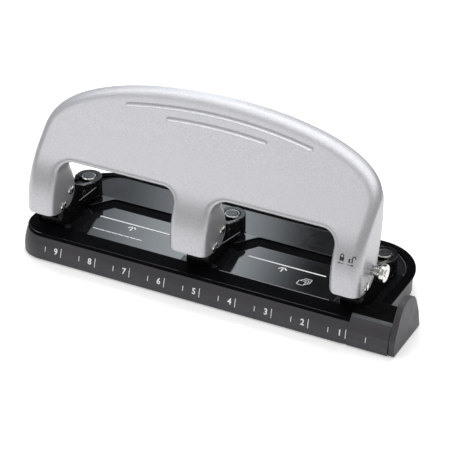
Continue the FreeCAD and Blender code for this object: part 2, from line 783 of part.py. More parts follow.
def make_handle():
    """One pressed sheet: curved face, outer flange all round and a flange in each opening."""
    thick = dim("sheet_metal")
    middle = dim("head_middle")
    left, right = middle - 130, middle + 130
    outer = outline_prism(0.0, middle).common(behind_face(0.0, left, right))
    inner = outline_prism(thick, middle).common(behind_face(thick, left, right))
    shell = outer.common(flange_room(OUTER_FLANGE, middle)).cut(inner)
    near, far = dim("opening_near"), dim("opening_far")
    room = flange_room(INNER_FLANGE, middle).common(behind_face(0.0, left, right))
    body = room.common(outline_prism(0.0, middle))
    for side in (-1, 1):
        tube = opening_prism(near, far, thick, middle, side)
        wall = tube.common(body)
        wall = wall.common(outer)
        shell = shell.fuse(wall)
    for side in (-1, 1):
        shell = shell.cut(opening_prism(near, far, 0.0, middle, side))
    low, edge = dim("leg_bottom"), dim("leg_front")
    shell = shell.cut(prism_x(
        [(-5, low - 5), (-5, edge), (dim("face_front"), edge), (dim("leg_wedge"), low),
         (dim("leg_wedge"), low - 5)], left, right))
    for x in HEADS.values():
        shell = shell.cut(cylinder_x(dim("pivot_radius") + 0.01, x - 14, x + 14,
                                     dim("pivot_y"), dim("pivot_z")))
        shell = shell.cut(cylinder_x(dim("drive_radius") + 0.01, x - 14, x + 14,
                                     dim("drive_y"), dim("drive_z")))
    return solid_node("handle_shell", shell.removeSplitter())


def leg_sides(side, x):
    """X of the two outer flange faces of the leg round one head."""
    middle = dim("head_middle")
    near, far, span = dim("opening_near"), dim("opening_far"), dim("half_span")
    if side == "left":
        return middle - span, middle - far
    if side == "centre":
        return middle - near, middle + near
    return middle + far, middle + span


def riveted_pin(radius, left, right, distance, height):
    """A pin through two flanges with a domed head outside each."""
    pin = cylinder_x(radius, left - 0.02, right + 0.02, distance, height)
    rise = dim("rivet_rise")
    for outer, direction in ((left - 0.02, -1), (right + 0.02, 1)):
        start = outer - rise if direction < 0 else outer
        head = cylinder_x(dim("rivet_head"), start, start + rise, distance, height)
        rim = [e for e in head.Edges
               if abs(e.BoundBox.XMin - (start if direction < 0 else start + rise)) < 0.01
               and e.BoundBox.XMax - e.BoundBox.XMin < 0.01]
        pin = pin.fuse(head.makeFillet(0.8, rim))
    return pin.removeSplitter()


def make_pins(side, x):
    left, right = leg_sides(side, x)
    drive = riveted_pin(dim("drive_radius"), left, right, dim("drive_y"), dim("drive_z"))
    solid_node("drive_pin_" + side, drive)
    if side == "right":
        return
    pivot = riveted_pin(dim("pivot_radius"), left, right, dim("pivot_y"), dim("pivot_z"))
    solid_node("pivot_pin_" + side, pivot)


def make_lock():
    """The right leg's pivot: a sliding shaft with a stepped knob outside the leg."""
    left, right = leg_sides("right", HEADS["right"])
    y, z = dim("pivot_y"), dim("pivot_z")
    shaft = cylinder_x(dim("pivot_radius") - 0.04, left - 1.5, right + dim("knob_near"), y, z)
    solid_node("lock_shaft", shaft)
    near = right + dim("knob_near")
    far = right + dim("knob_far")
    neck = cylinder_x(dim("neck_radius"), near, far, y, z)
    disc = cylinder_x(dim("knob_radius"), near + 2.4, far - 0.5, y, z)
    knob = neck.fuse(disc).removeSplitter()
    bore = cylinder_x(dim("pivot_radius") - 0.03, near - 1, near + 0.01, y, z)
    solid_node("lock_knob", knob.cut(bore))


# ---------------------------------------------------------------- build, check, write

make_tray()
make_feet()
make_plate()
make_drawer()
make_housing()
make_fin()
make_bar()
make_handle()
make_lock()
make_screws()
for head_side, head_x in HEADS.items():
    make_head(head_side, head_x)
    make_die(head_side, head_x)
    make_punch(head_side, head_x)
    make_cap(head_side, head_x)
    make_spring(head_side, head_x)
    make_rocker(head_side, head_x)
    make_fulcrum(head_side, head_x)
    make_pins(head_side, head_x)
doc.recompute()

for item in doc.Objects:
    if "Invalid" in item.State or "Error" in item.State:
        raise RuntimeError("%s failed: %s" % (item.Label, item.State))

os.makedirs("parts", exist_ok=True)
for item in doc.Objects:
    if item.TypeId not in ("PartDesign::Body", "Part::Feature"):
        continue
    if item.Shape.isNull() or not item.Shape.isValid():
        raise RuntimeError(item.Label + " has no valid shape")
    item.Shape.exportStep("parts/%s.step" % item.Label)
    print(item.Label, len(item.Shape.Solids), round(item.Shape.Volume, 1))
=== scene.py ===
import math

import bmesh
import bpy
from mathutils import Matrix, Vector
from mathutils.bvhtree import BVHTree
from mathutils.geometry import delaunay_2d_cdt


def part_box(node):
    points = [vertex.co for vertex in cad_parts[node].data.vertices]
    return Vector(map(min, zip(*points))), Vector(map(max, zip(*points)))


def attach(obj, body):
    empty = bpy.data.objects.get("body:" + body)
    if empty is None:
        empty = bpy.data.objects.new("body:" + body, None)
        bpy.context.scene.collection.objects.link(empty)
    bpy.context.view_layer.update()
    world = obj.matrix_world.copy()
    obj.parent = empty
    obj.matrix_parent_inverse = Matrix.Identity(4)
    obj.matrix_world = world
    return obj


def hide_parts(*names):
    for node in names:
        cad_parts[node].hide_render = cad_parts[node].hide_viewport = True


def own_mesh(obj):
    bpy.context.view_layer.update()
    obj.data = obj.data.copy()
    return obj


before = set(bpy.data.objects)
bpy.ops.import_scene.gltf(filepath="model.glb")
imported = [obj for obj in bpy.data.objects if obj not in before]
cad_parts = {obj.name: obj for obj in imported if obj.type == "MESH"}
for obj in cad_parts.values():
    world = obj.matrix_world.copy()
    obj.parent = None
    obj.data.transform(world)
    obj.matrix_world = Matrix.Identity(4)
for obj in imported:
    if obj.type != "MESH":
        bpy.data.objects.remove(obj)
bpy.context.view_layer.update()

MM = 0.001
FRONT = -50.0 * MM
HEAD_MIDDLE = -10.5 * MM
HEAD_PITCH = 107.95 * MM
PIN_Y = 20.0 * MM
HEADS = {
    "left": HEAD_MIDDLE - HEAD_PITCH,
    "centre": HEAD_MIDDLE,
    "right": HEAD_MIDDLE + HEAD_PITCH,
}
PLATE_TOP = 12.0 * MM


# ------------------------------------------------------------------ node materials

class Shader:
    """A Principled material with a few helpers for procedural detail in metres."""

    def __init__(self, name, colour, roughness, metallic=0.0, **sockets):
        self.material = bpy.data.materials.new(name)
        self.material.use_nodes = True
        self.tree = self.material.node_tree
        self.shader = self.tree.nodes["Principled BSDF"]
        self.shader.inputs["Base Color"].default_value = (*colour, 1)
        self.shader.inputs["Roughness"].default_value = roughness
        self.shader.inputs["Metallic"].default_value = metallic
        for socket, value in sockets.items():
            self.shader.inputs[socket.replace("_", " ")].default_value = value
        self.colour = colour
        self.place = self.tree.nodes.new("ShaderNodeTexCoord").outputs["Object"]
        self.normal = None

    def noise(self, scale, detail=3.0, stretch=None):
        """Noise whose scale is in features per metre, stretched along an axis if asked."""
        node = self.tree.nodes.new("ShaderNodeTexNoise")
        node.inputs["Scale"].default_value = scale
        node.inputs["Detail"].default_value = detail
        source = self.place
        if stretch:
            mapping = self.tree.nodes.new("ShaderNodeMapping")
            mapping.inputs["Scale"].default_value = stretch
            self.tree.links.new(source, mapping.inputs["Vector"])
            source = mapping.outputs["Vector"]
        self.tree.links.new(source, node.inputs["Vector"])
        return node.outputs["Fac"]

    def ramp(self, source, low, high, dark, light):
        """The source, between two values, as a number between two others."""
        node = self.tree.nodes.new("ShaderNodeMapRange")
        node.inputs["From Min"].default_value = low
        node.inputs["From Max"].default_value = high
        node.inputs["To Min"].default_value = dark
        node.inputs["To Max"].default_value = light
        self.tree.links.new(source, node.inputs["Value"])
        return node.outputs["Result"]

    def soften(self, radius):
        """Rounds the look of every hard edge by a radius in metres."""
        node = self.tree.nodes.new("ShaderNodeBevel")
        node.samples = 6
        node.inputs["Radius"].default_value = radius
        self.normal = node.outputs["Normal"]
        return self

    def tint(self, source, dark, light, low=0.35, high=0.65):
        """Base colour that varies between two shades of the material's colour."""
        mix = self.tree.nodes.new("ShaderNodeMix")
        mix.data_type = "RGBA"
        mix.inputs[6].default_value = (*[c * dark for c in self.colour], 1)
        mix.inputs[7].default_value = (*[min(1, c * light) for c in self.colour], 1)
        self.tree.links.new(self.ramp(source, low, high, 0, 1), mix.inputs[0])
        self.tree.links.new(mix.outputs[2], self.shader.inputs["Base Color"])
        return self

    def rough(self, source, smooth, coarse, low=0.3, high=0.7):
        """Roughness that varies between two values."""
        level = self.ramp(source, low, high, smooth, coarse)
        self.tree.links.new(level, self.shader.inputs["Roughness"])
        return self

    def bump(self, source, height, strength=1.0):
        """Relief of a height in metres, added to what is there."""
        node = self.tree.nodes.new("ShaderNodeBump")
        node.inputs["Distance"].default_value = height
        node.inputs["Strength"].default_value = strength
        self.tree.links.new(source, node.inputs["Height"])
        if self.normal:
            self.tree.links.new(self.normal, node.inputs["Normal"])
        self.normal = node.outputs["Normal"]
        self.tree.links.new(self.normal, self.shader.inputs["Normal"])
        return self


def silver_paint():
    """Metallic silver lacquer with fine flake."""
    m = Shader("silver_paint", (0.53, 0.53, 0.555), 0.36, 0.62,
               Coat_Weight=0.12, Coat_Roughness=0.25)
    flake = m.noise(2400, 2.0)
    m.tint(flake, 0.84, 1.14)
    m.rough(m.noise(900, 2.0), 0.33, 0.43)
    return m.bump(flake, 0.00002, 0.55).material


def moulded_plastic():
    """Charcoal plastic with a fine spark-eroded grain and slight handling polish."""
    m = Shader("moulded_plastic", (0.046, 0.043, 0.050), 0.46, 0.0, Specular_IOR_Level=0.40)
    m.soften(0.0005)
    grain = m.noise(3200, 2.0)
    m.tint(m.noise(45, 3.0), 0.92, 1.08)
    m.rough(m.noise(120, 4.0), 0.40, 0.52)
    return m.bump(grain, 0.00002, 0.5).material


def gloss_black():
    """Deep black enamel, a mirror on the flat of the plate."""
    m = Shader("gloss_black", (0.010, 0.010, 0.012), 0.07, 0.0, Specular_IOR_Level=0.85)
    m.soften(0.0009)
    m.tint(m.noise(60, 2.0), 0.8, 1.2)
    m.rough(m.noise(300, 4.0), 0.05, 0.10)
    return m.bump(m.noise(420, 1.0), 0.000004, 0.35).material


def satin_black():
    """The enamel of the raised rim and the band, rougher and darker with its reflection almost cut
    out: painted shade.
    """
    m = Shader("satin_black", (0.004, 0.004, 0.005), 0.34, 0.0,
               Specular_IOR_Level=0.05, IOR=1.12)
    m.soften(0.0005)
    m.tint(m.noise(80, 2.0), 0.8, 1.2)
    m.rough(m.noise(300, 3.0), 0.30, 0.40)
    return m.bump(m.noise(900, 2.0), 0.000006, 0.35).material


def black_cover():
    """The black top of the guide's cover."""
    m = Shader("black_cover", (0.006, 0.006, 0.006), 0.5, 0.0,
               Specular_IOR_Level=0.05, IOR=1.12)
    m.tint(m.noise(120, 3.0), 0.85, 1.15)
    m.rough(m.noise(150, 3.0), 0.44, 0.56)
    return m.bump(m.noise(3200, 2.0), 0.00002, 0.5).material


def worn_edge():
    """A painted highlight: the paler line where the cover's top meets its front."""
    m = Shader("worn_edge", (0.085, 0.088, 0.09), 0.4, 0.0, Specular_IOR_Level=0.5)
    m.tint(m.noise(200, 3.0), 0.85, 1.15)
    m.rough(m.noise(150, 3.0), 0.34, 0.46)
    return m.bump(m.noise(3200, 2.0), 0.00002, 0.5).material


def head_enamel():
    """Black enamel over a casting: a little rougher than the plate."""
    m = Shader("head_enamel", (0.006, 0.006, 0.007), 0.2, 0.0, Specular_IOR_Level=0.26)
    m.soften(0.0010)
    m.tint(m.noise(200, 3.0), 0.75, 1.3)
    m.rough(m.noise(500, 3.0), 0.16, 0.28)
    return m.bump(m.noise(1500, 3.0), 0.00002, 0.25).material


def bright_nickel():
    """Bright plated steel with faint turning marks."""
    m = Shader("bright_nickel", (0.72, 0.71, 0.68), 0.16, 1.0)
    m.soften(0.0003)
    m.tint(m.noise(800, 3.0), 0.85, 1.08)
    m.rough(m.noise(1200, 3.0, (0.2, 1, 1)), 0.10, 0.26)
    return m.bump(m.noise(2500, 2.0, (0.15, 1, 1)), 0.000008, 0.5).material


def dark_steel():
    """Blued steel, as on the middle of the punch caps."""
    m = Shader("dark_steel", (0.045, 0.047, 0.052), 0.34, 0.7)
    m.tint(m.noise(900, 3.0), 0.8, 1.15)
    m.rough(m.noise(1100, 3.0), 0.24, 0.4)
    return m.bump(m.noise(2600, 2.0), 0.000008, 0.4).material


def ground_steel():
    """Tool steel with grinding marks across it."""
    m = Shader("ground_steel", (0.42, 0.42, 0.43), 0.3, 1.0)
    m.soften(0.0003)
    m.tint(m.noise(700, 4.0, (1, 0.1, 1)), 0.8, 1.1)
    m.rough(m.noise(900, 3.0), 0.22, 0.38)
    return m.bump(m.noise(3000, 2.0, (1, 0.08, 1)), 0.00001, 0.6).material


def foot_rubber():
    """Matt black rubber."""
    m = Shader("foot_rubber", (0.02, 0.02, 0.02), 0.8)
    m.tint(m.noise(500, 3.0), 0.8, 1.25)
    return m.bump(m.noise(2200, 3.0), 0.00004, 0.6).material


def print_ink(name, shade):
    """Screen-printed ink, slightly uneven in cover; the same finish also makes the pale painted
    highlight lines.
    """
    m = Shader(name, shade, 0.5, 0.0)
    m.tint(m.noise(1800, 3.0), 0.86, 1.05)
    return m.bump(m.noise(2600, 2.0), 0.000008, 0.4).material


SILVER = silver_paint()
PLASTIC = moulded_plastic()
GLOSS = gloss_black()
# rougher, darker enamel with almost no reflection: painted shade on the rim and the band
SATIN_SHADE = satin_black()
COVER = black_cover()
# paler plastic as a painted highlight along the cover's top front edge
PAINTED_EDGE_HIGHLIGHT = worn_edge()
# pale grey as a painted highlight on thin raised lines
LINE_HIGHLIGHT = print_ink("line_highlight_paint", (0.42, 0.42, 0.44))
ENAMEL = head_enamel()
NICKEL = bright_nickel()
BLUED = dark_steel()
STEEL = ground_steel()
RUBBER = foot_rubber()
WHITE_INK = print_ink("white_ink", (0.90, 0.90, 0.92))
DARK_INK = print_ink("dark_ink", (0.02, 0.02, 0.025))


# ------------------------------------------------------------------ mesh helpers

def mesh_piece(name, verts, faces, material, smooth=True):
    """A new mesh object from plain lists."""
    mesh = bpy.data.meshes.new(name)
    mesh.from_pydata([tuple(v) for v in verts], [], faces)
    mesh.validate()
    mesh.materials.append(material)
    for polygon in mesh.polygons:
        polygon.use_smooth = smooth
    piece = bpy.data.objects.new(name, mesh)
    bpy.context.scene.collection.objects.link(piece)
    return piece


def weld_and_face(piece, distance=1e-6):
    """Merges doubled points and turns every face outwards."""
    work = bmesh.new()
    work.from_mesh(piece.data)
    bmesh.ops.remove_doubles(work, verts=work.verts, dist=distance)
    bmesh.ops.recalc_face_normals(work, faces=work.faces)
    work.to_mesh(piece.data)
    work.free()


def bevelled(piece, width, segments=3, angle=32):
    """Rounds a piece's sharp edges."""
    weld = piece.modifiers.new("weld", "WELD")
    weld.merge_threshold = 2e-6
    bevel = piece.modifiers.new("round", "BEVEL")
    bevel.width = width
    bevel.segments = segments
    bevel.limit_method = "ANGLE"
    bevel.angle_limit = math.radians(angle)
    bevel.harden_normals = True
    return piece


def paint(node, material):
    """Gives a carried-over CAD node its material."""
    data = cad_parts[node].data
    data.materials.clear()
    data.materials.append(material)


def sample(points, step):
    """Points along a polyline at about an even step, its corners kept."""
    out = [Vector(points[0])]
    for a, b in zip(points, points[1:]):
        a, b = Vector(a), Vector(b)
        count = max(1, round((b - a).length / step))
        out += [a.lerp(b, i / count) for i in range(1, count + 1)]
    return out


# ------------------------------------------------------------------ handle

LEG_BOTTOM = 29.8 * MM
LEG_FRONT_RISE = 2.2 * MM
LEG_CORNER = 6.0 * MM
FACE_FRONT = 4.8 * MM
STRAIGHT = 5.7 * MM
FACE_RADIUS = 52.0 * MM
LEAN = math.radians(45.5)
ARCH_REACH = 105.0 * MM
SHOULDER = 57.7 * MM
HALF_SPAN = 118.2 * MM
NEAR, FAR = 13.4 * MM, 97.6 * MM
OPENING_REACH = 40.3 * MM
OPENING_CORNER = 10.0 * MM
SHEET = 1.2 * MM
OUTER_BEND = 6.5 * MM
INNER_BEND = 5.2 * MM
SMALL_FLANGE = 6.6 * MM

# rear edge of the side flanges, as (distance from the front, height)
OUTER_EDGE = [(21, 28), (29, 32), (34, 38), (36, 48), (39.5, 60), (41, 71), (40.5, 80), (43.8, 89)]
INNER_EDGE = [(21, 28), (29.5, 30.5), (33.8, 36), (34.6, 42), (33, 50), (29, 58), (26, 66),
              (27.5, 74)]

# grooves pressed into the face: half length, reach at the ends, reach in the middle
GROOVES = [(65 * MM, 88.4 * MM, 94.7 * MM), (34.4 * MM, 85.3 * MM, 86.9 * MM)]
GROOVE_HALF = 1.7 * MM
GROOVE_DEPTH = 0.65 * MM

# the feet lift over this height and this depth; the rounded corner fades over this depth
FOOT_REACH = 9.0 * MM
WEDGE_DEPTH = 11.2 * MM
CORNER_FADE = 4.5 * MM

# how finely the sheet is divided
LEG_STEPS, ARCH_STEPS = 30, 90
SIDE_STEPS, CORNER_STEPS = 22, 16
BEND_STEPS, FLANGE_STEPS = 9, 5
GRID_ACROSS, GRID_UP = 3.0 * MM, 2.0 * MM
GROOVE_STEPS, GROOVE_SPARE = 55, 3
EDGE_CLEARANCE = 0.9 * MM


def face_point(reach):
    """(distance from the front, height) of the outer face at a distance up its bend."""
    if reach <= STRAIGHT:
        return FACE_FRONT, LEG_BOTTOM + reach
    turned = min((reach - STRAIGHT) / FACE_RADIUS, LEAN)
    beyond = max(0.0, reach - STRAIGHT - FACE_RADIUS * LEAN)
    y = FACE_FRONT + FACE_RADIUS * (1 - math.cos(turned)) + beyond * math.sin(LEAN)
    z = LEG_BOTTOM + STRAIGHT + FACE_RADIUS * math.sin(turned) + beyond * math.cos(LEAN)
    return y, z


def face_normal(reach):
    """Unit vector out of the face, towards the front."""
    turned = min(max(0.0, reach - STRAIGHT) / FACE_RADIUS, LEAN)
    return Vector((0, -math.cos(turned), math.sin(turned)))


def groove_sag(u, reach):
    """How deep the grooves press the face in at a point."""
    deep = 0.0
    for half, end, middle in GROOVES:
        line = middle - (middle - end) * (u / half) ** 2
        slope = -2 * (middle - end) * u / half ** 2
        across = (reach - line) / math.sqrt(1 + slope ** 2)
        past = max(0.0, abs(u) - half)
        away = math.hypot(across, past * 1.3)
        if away < GROOVE_HALF:
            deep = max(deep, 0.5 * (1 + math.cos(math.pi * away / GROOVE_HALF)))
    return deep * GROOVE_DEPTH


def handle_point(u, reach, depth=0.0):
    """A point of the handle: across, up its bent height, and back from the face."""
    y, z = face_point(reach)
    spot = Vector((HEAD_MIDDLE + u, FRONT + y + depth, z))
    return spot - face_normal(reach) * groove_sag(u, reach)


def half_width(reach):
    """Half the handle's width at a distance up its bend."""
    share = max(0.0, reach - SHOULDER) / (ARCH_REACH - SHOULDER)
    return HALF_SPAN * math.sqrt(max(0.0, 1 - share ** 2.45))


def profile_at(profile, height):
    """Distance from the front of a flange's rear edge at a height, between straight joins."""
    z = height / MM
    for (d0, z0), (d1, z1) in zip(profile, profile[1:]):
        if z <= z1:
            share = min(max((z - z0) / (z1 - z0), 0.0), 1.0)
            return (d0 + (d1 - d0) * share) * MM
    return profile[-1][0] * MM


def outer_path():
    """The outer edge from the left foot over the arch to the right foot."""
    side = [Vector((HALF_SPAN, SHOULDER * i / LEG_STEPS)) for i in range(LEG_STEPS)]
    arch = []
    for i in range(ARCH_STEPS + 1):
        climb = math.sin(math.pi / 2 * i / ARCH_STEPS)
        reach = SHOULDER + (ARCH_REACH - SHOULDER) * climb
        arch.append(Vector((half_width(reach), reach)))
    right = side + arch
    left = [Vector((-p.x, p.y)) for p in right]
    return left + list(reversed(right[:-1]))


def opening_path(side):
    """One finger opening's edge, from its left foot to its right foot."""
    low, high = (NEAR, FAR) if side > 0 else (-FAR, -NEAR)
    r, top = OPENING_CORNER, OPENING_REACH
    heights = [(top - r) * i / SIDE_STEPS for i in range(SIDE_STEPS)]
    turns = [math.pi / 2 * i / CORNER_STEPS for i in range(CORNER_STEPS + 1)]
    points = [Vector((low, height)) for height in heights]
    points += [Vector((low + r - r * math.cos(a), top - r + r * math.sin(a))) for a in turns]
    span = sample([(low + r, top, 0), (high - r, top, 0)], 2.5 * MM)
    points += [Vector((p.x, p.y)) for p in span[1:-1]]
    points += [Vector((high - r + r * math.cos(a), top - r + r * math.sin(a)))
               for a in reversed(turns)]
    points += [Vector((high, height)) for height in reversed(heights)]
    return points


def into_face(points):
    """Unit vectors from an edge path into the sheet, on the right of its direction."""
    out = []
    for i in range(len(points)):
        ahead = points[min(i + 1, len(points) - 1)]
        behind = points[max(i - 1, 0)]
        along = (ahead - behind).normalized()
        out.append(Vector((along.y, -along.x)))
    return out


def bend_strip(points, inward, bend, total, verts, faces, first_row):
    """The rounded bend and flange along one edge path; first_row lists its face points."""
    rows = [first_row]
    for k in range(1, BEND_STEPS + 1):
        turn = math.pi / 2 * k / BEND_STEPS
        rows.append(list(range(len(verts), len(verts) + len(points))))
        for p, n in zip(points, inward):
            spot = p + n * (bend * (1 - math.sin(turn)))
            back = bend * (1 - math.cos(turn))
            verts.append(handle_point(spot.x, max(spot.y, 0.0), back))
    for k in range(1, FLANGE_STEPS + 1):
        rows.append(list(range(len(verts), len(verts) + len(points))))
        for p, deep in zip(points, total):
            back = bend + (deep - bend) * k / FLANGE_STEPS
            verts.append(handle_point(p.x, p.y, back))
    for low, high in zip(rows, rows[1:]):
        for i in range(len(points) - 1):
            faces.append((low[i], low[i + 1], high[i + 1], high[i]))


def inner_grid(ring):
    """Points inside the flat outline: an even grid, and rows along each groove."""
    loose = []
    columns = int(HALF_SPAN / GRID_ACROSS) + 1
    for i in range(-columns, columns + 1):
        for j in range(1, int(ARCH_REACH / GRID_UP)):
            loose.append(Vector((i * GRID_ACROSS, j * GRID_UP)))
    rows = [GROOVE_HALF * k / 4 for k in range(-5, 6)]
    last = GROOVE_STEPS + GROOVE_SPARE
    for half, end, middle in GROOVES:
        for i in range(-last, last + 1):
            u = (half + GROOVE_HALF) * i / GROOVE_STEPS
            line = middle - (middle - end) * (u / half) ** 2
            loose += [Vector((u, line + r)) for r in rows]
    return [p for p in loose
            if inside_ring(p, ring) and distance_to_ring(p, ring) > EDGE_CLEARANCE]


def make_handle():
    """The pressed sheet handle: curved face, rounded bends, flanges and two grooves."""
    outer, left_gap, right_gap = outer_path(), opening_path(-1), opening_path(1)
    edges = {
        "outer": (outer, into_face(outer), OUTER_BEND, OUTER_EDGE),
        "left": (left_gap, [-n for n in into_face(left_gap)], INNER_BEND, INNER_EDGE),
        "right": (right_gap, [-n for n in into_face(right_gap)], INNER_BEND, INNER_EDGE),
    }
    flat = {}
    for key, (points, inward, bend, _) in edges.items():
        flat[key] = [p + n * bend for p, n in zip(points, inward)]
        flat[key][0].y = 0.0
        flat[key][-1].y = 0.0
    # one closed outline: over the arch, then back along the feet and round each opening
    ring = list(flat["outer"])
    order = {"outer": list(range(len(ring)))}
    for key in ("right", "left"):
        start = len(ring)
        ring += list(reversed(flat[key]))
        order[key] = list(reversed(range(start, len(ring))))
    count = len(ring)
    borders = [(i, (i + 1) % count) for i in range(count)]
    divided = delaunay_2d_cdt(
        ring + inner_grid(ring), borders, [list(range(count))], 1, 1e-7)
    verts = [handle_point(p.x, p.y) for p in divided[0]]
    faces = [tuple(f) for f in divided[2]]
    where = {old: new for new, olds in enumerate(divided[3]) for old in olds}
    for key, (points, inward, bend, profile) in edges.items():
        total = []
        for p in points:
            y, z = face_point(p.y)
            total.append(max(profile_at(profile, z) - y, SMALL_FLANGE))
        row = [where[i] for i in order[key]]
        bend_strip(points, inward, bend, smooth_list(total, 6), verts, faces, row)
    piece = mesh_piece("handle_sheet", [shape_foot(v) for v in verts], faces, SILVER)
    weld_and_face(piece, 2e-6)
    face_the_front(piece)
    solid = piece.modifiers.new("sheet", "SOLIDIFY")
    solid.thickness = SHEET
    solid.offset = -1
    solid.use_even_offset = True
    edge = piece.modifiers.new("edge", "BEVEL")
    edge.width = 0.25 * MM
    edge.segments = 2
    edge.limit_method = "ANGLE"
    edge.angle_limit = math.radians(50)
    edge.harden_normals = False
    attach(piece, "handle")
    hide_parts("handle_shell")


def shape_foot(spot):
    """Lifts the feet of the legs: higher at the face, with a rounded left corner."""
    above = spot.z - LEG_BOTTOM
    if above > FOOT_REACH:
        return spot
    back = spot.y - FRONT - FACE_FRONT
    lift = LEG_FRONT_RISE * max(0.0, 1 - back / WEDGE_DEPTH)
    across = spot.x - HEAD_MIDDLE
    for side in (-HALF_SPAN, -NEAR, FAR):
        inside = across - side
        if -0.01 * MM <= inside < LEG_CORNER:
            drop = math.sqrt(max(0.0, LEG_CORNER ** 2 - (LEG_CORNER - inside) ** 2))
            fade = min(1.0, max(0.0, 1 - (back - OUTER_BEND) / CORNER_FADE))
            lift += (LEG_CORNER - drop) * fade
    share = 1 - above / FOOT_REACH
    return Vector((spot.x, spot.y, spot.z + lift * share))


def smooth_list(values, rounds):
    """Runs a short average along a list, with its ends kept."""
    for _ in range(rounds):
        values = [values[0]] + [
            (a + 2 * b + c) / 4 for a, b, c in zip(values, values[1:], values[2:])
        ] + [values[-1]]
    return values


def inside_ring(p, ring):
    """True if a point is inside a closed outline."""
    inside = False
    j = len(ring) - 1
    for i in range(len(ring)):
        a, b = ring[i], ring[j]
        if (a.y > p.y) != (b.y > p.y) and p.x < (b.x - a.x) * (p.y - a.y) / (b.y - a.y) + a.x:
            inside = not inside
        j = i
    return inside


def distance_to_ring(p, ring):
    """Shortest distance from a point to the corners and sides of an outline."""
    best = 1.0
    for i in range(len(ring)):
        a, b = ring[i - 1], ring[i]
        side = b - a
        share = min(max((p - a).dot(side) / max(side.length_squared, 1e-14), 0.0), 1.0)
        best = min(best, (a + side * share - p).length)
    return best


def face_the_front(piece):
    """Turns an open sheet so that its outside is the side that faces forward."""
    lean = sum(f.normal.y * f.area for f in piece.data.polygons)
    if lean > 0:
        piece.data.flip_normals()


# ------------------------------------------------------------------ pieces in several finishes

def several_finishes(node, name, body, finishes, choose):
    """A copy of a CAD node's shape whose faces take different finishes."""
    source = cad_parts[node]
    data = source.data.copy()
    data.materials.clear()
    for finish in finishes:
        data.materials.append(finish)
    piece = bpy.data.objects.new(name, data)
    bpy.context.scene.collection.objects.link(piece)
    piece.matrix_world = source.matrix_world.copy()
    for polygon in data.polygons:
        polygon.material_index = choose(polygon.center, polygon.normal)
    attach(piece, body)
    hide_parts(node)


def plate_finish(centre, normal):
    """Mirror (0) on the flat and the ramp; satin enamel with painted shade (1) on the rim and in
    the band.
    """
    on_ramp = normal.z > 0.9 and -0.35 < normal.y < -0.1 and centre.z > PLATE_TOP
    on_flat = PLATE_TOP - 0.1 * MM <= centre.z <= PLATE_TOP + 0.9 * MM
    return 0 if on_ramp or on_flat else 1


def cover_finish(centre, normal):
    """Black (1) on top, a painted highlight line (2) at the top's front edge, plastic (0)
    elsewhere.
    """
    if normal.z > 0.93:
        return 1
    # the narrow band of faces between top and front takes the painted highlight
    if normal.z > 0.80 and centre.y < FRONT + 12.0 * MM:
        return 2
    return 0


# ------------------------------------------------------------------ turned pieces

def lathe(name, profile, centre, along, material, segments=48):
    """A turned piece: (distance along the axis, radius) pairs swept round it."""
    along = Vector(along).normalized()
    side = along.orthogonal().normalized()
    other = along.cross(side)
    verts, faces = [], []
    for place, radius in profile:
        for k in range(segments):
            turn = 2 * math.pi * k / segments
            out = side * math.cos(turn) + other * math.sin(turn)
            verts.append(Vector(centre) + along * place + out * max(radius, 1e-6))
    for i in range(len(profile) - 1):
        for k in range(segments):
            n = (k + 1) % segments
            a, b = i * segments, (i + 1) * segments
            faces.append((a + k, a + n, b + n, b + k))
    piece = mesh_piece(name, verts, faces, material)
    weld_and_face(piece, 2e-6)
    return piece


def dome(start, radius, rise, steps=8):
    """Profile of a domed rivet head, from its tip out to its rim."""
    points = []
    for i in range(steps + 1):
        turn = math.pi / 2 * i / steps
        points.append((start - rise * math.cos(turn), radius * math.sin(turn) ** 0.8))
    return points


def make_rivets():
    """The pins that carry the handle and drive the rockers, with domed heads."""
    pins = [("drive_pin_" + side, 2.2 * MM) for side in HEADS]
    pins += [("pivot_pin_" + side, 2.4 * MM) for side in ("left", "centre")]
    rise, radius, seat = 1.4 * MM, 3.2 * MM, 0.05 * MM
    for node, shaft in pins:
        low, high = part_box(node)
        y, z = (low[1] + high[1]) / 2, (low[2] + high[2]) / 2
        length = high[0] - low[0]
        profile = dome(rise, radius, rise) + [(rise + seat, shaft)]
        profile += [(length - place, r) for place, r in reversed(profile)]
        name = node.replace("pin", "rivet")
        piece = lathe(name, profile, (low[0], y, z), (1, 0, 0), NICKEL)
        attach(piece, "handle")
        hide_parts(node)


def make_knob():
    """The stepped, turned knob of the lock."""
    low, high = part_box("lock_knob")
    y, z = (low[1] + high[1]) / 2, (low[2] + high[2]) / 2
    length = high[0] - low[0]
    radius = (high[2] - low[2]) / 2
    profile = [
        (0.0, 0.0), (0.0, 0.55 * radius), (0.25 * MM, 0.62 * radius), (1.2 * MM, 0.62 * radius),
        (1.35 * MM, 0.54 * radius), (2.0 * MM, 0.54 * radius), (2.2 * MM, 0.80 * radius),
        (2.4 * MM, 0.94 * radius), (2.8 * MM, radius), (length - 1.0 * MM, radius),
        (length - 0.45 * MM, 0.96 * radius), (length - 0.3 * MM, 0.88 * radius),
        (length - 0.55 * MM, 0.66 * radius), (length - 0.5 * MM, 0.4 * radius),
        (length, 0.36 * radius), (length, 0.0),
    ]
    piece = lathe("lock_knob_turned", profile, (low[0], y, z), (1, 0, 0), NICKEL, 64)
    bevelled(piece, 0.12 * MM, 2, 40)
    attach(piece, "lock")
    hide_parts("lock_knob")
    make_collar(low[0], y, z)


def make_collar(right, y, z):
    """The ridged collar between the leg and the knob."""
    bore, crest, valley, end = 2.3 * MM, 3.4 * MM, 3.15 * MM, 3.2 * MM
    length, pitch = 2.3 * MM, 0.3 * MM
    profile = [(0.0, bore), (0.0, end), (0.2 * MM, crest)]
    for ridge in range(1, 7):
        radius = valley if ridge % 2 else crest
        profile.append((0.2 * MM + ridge * pitch, radius))
    profile += [(length, end), (length, bore)]
    collar = lathe(
        "lock_collar", profile, (right - length - 0.1 * MM, y, z), (1, 0, 0), NICKEL)
    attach(collar, "lock")
    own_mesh(collar)


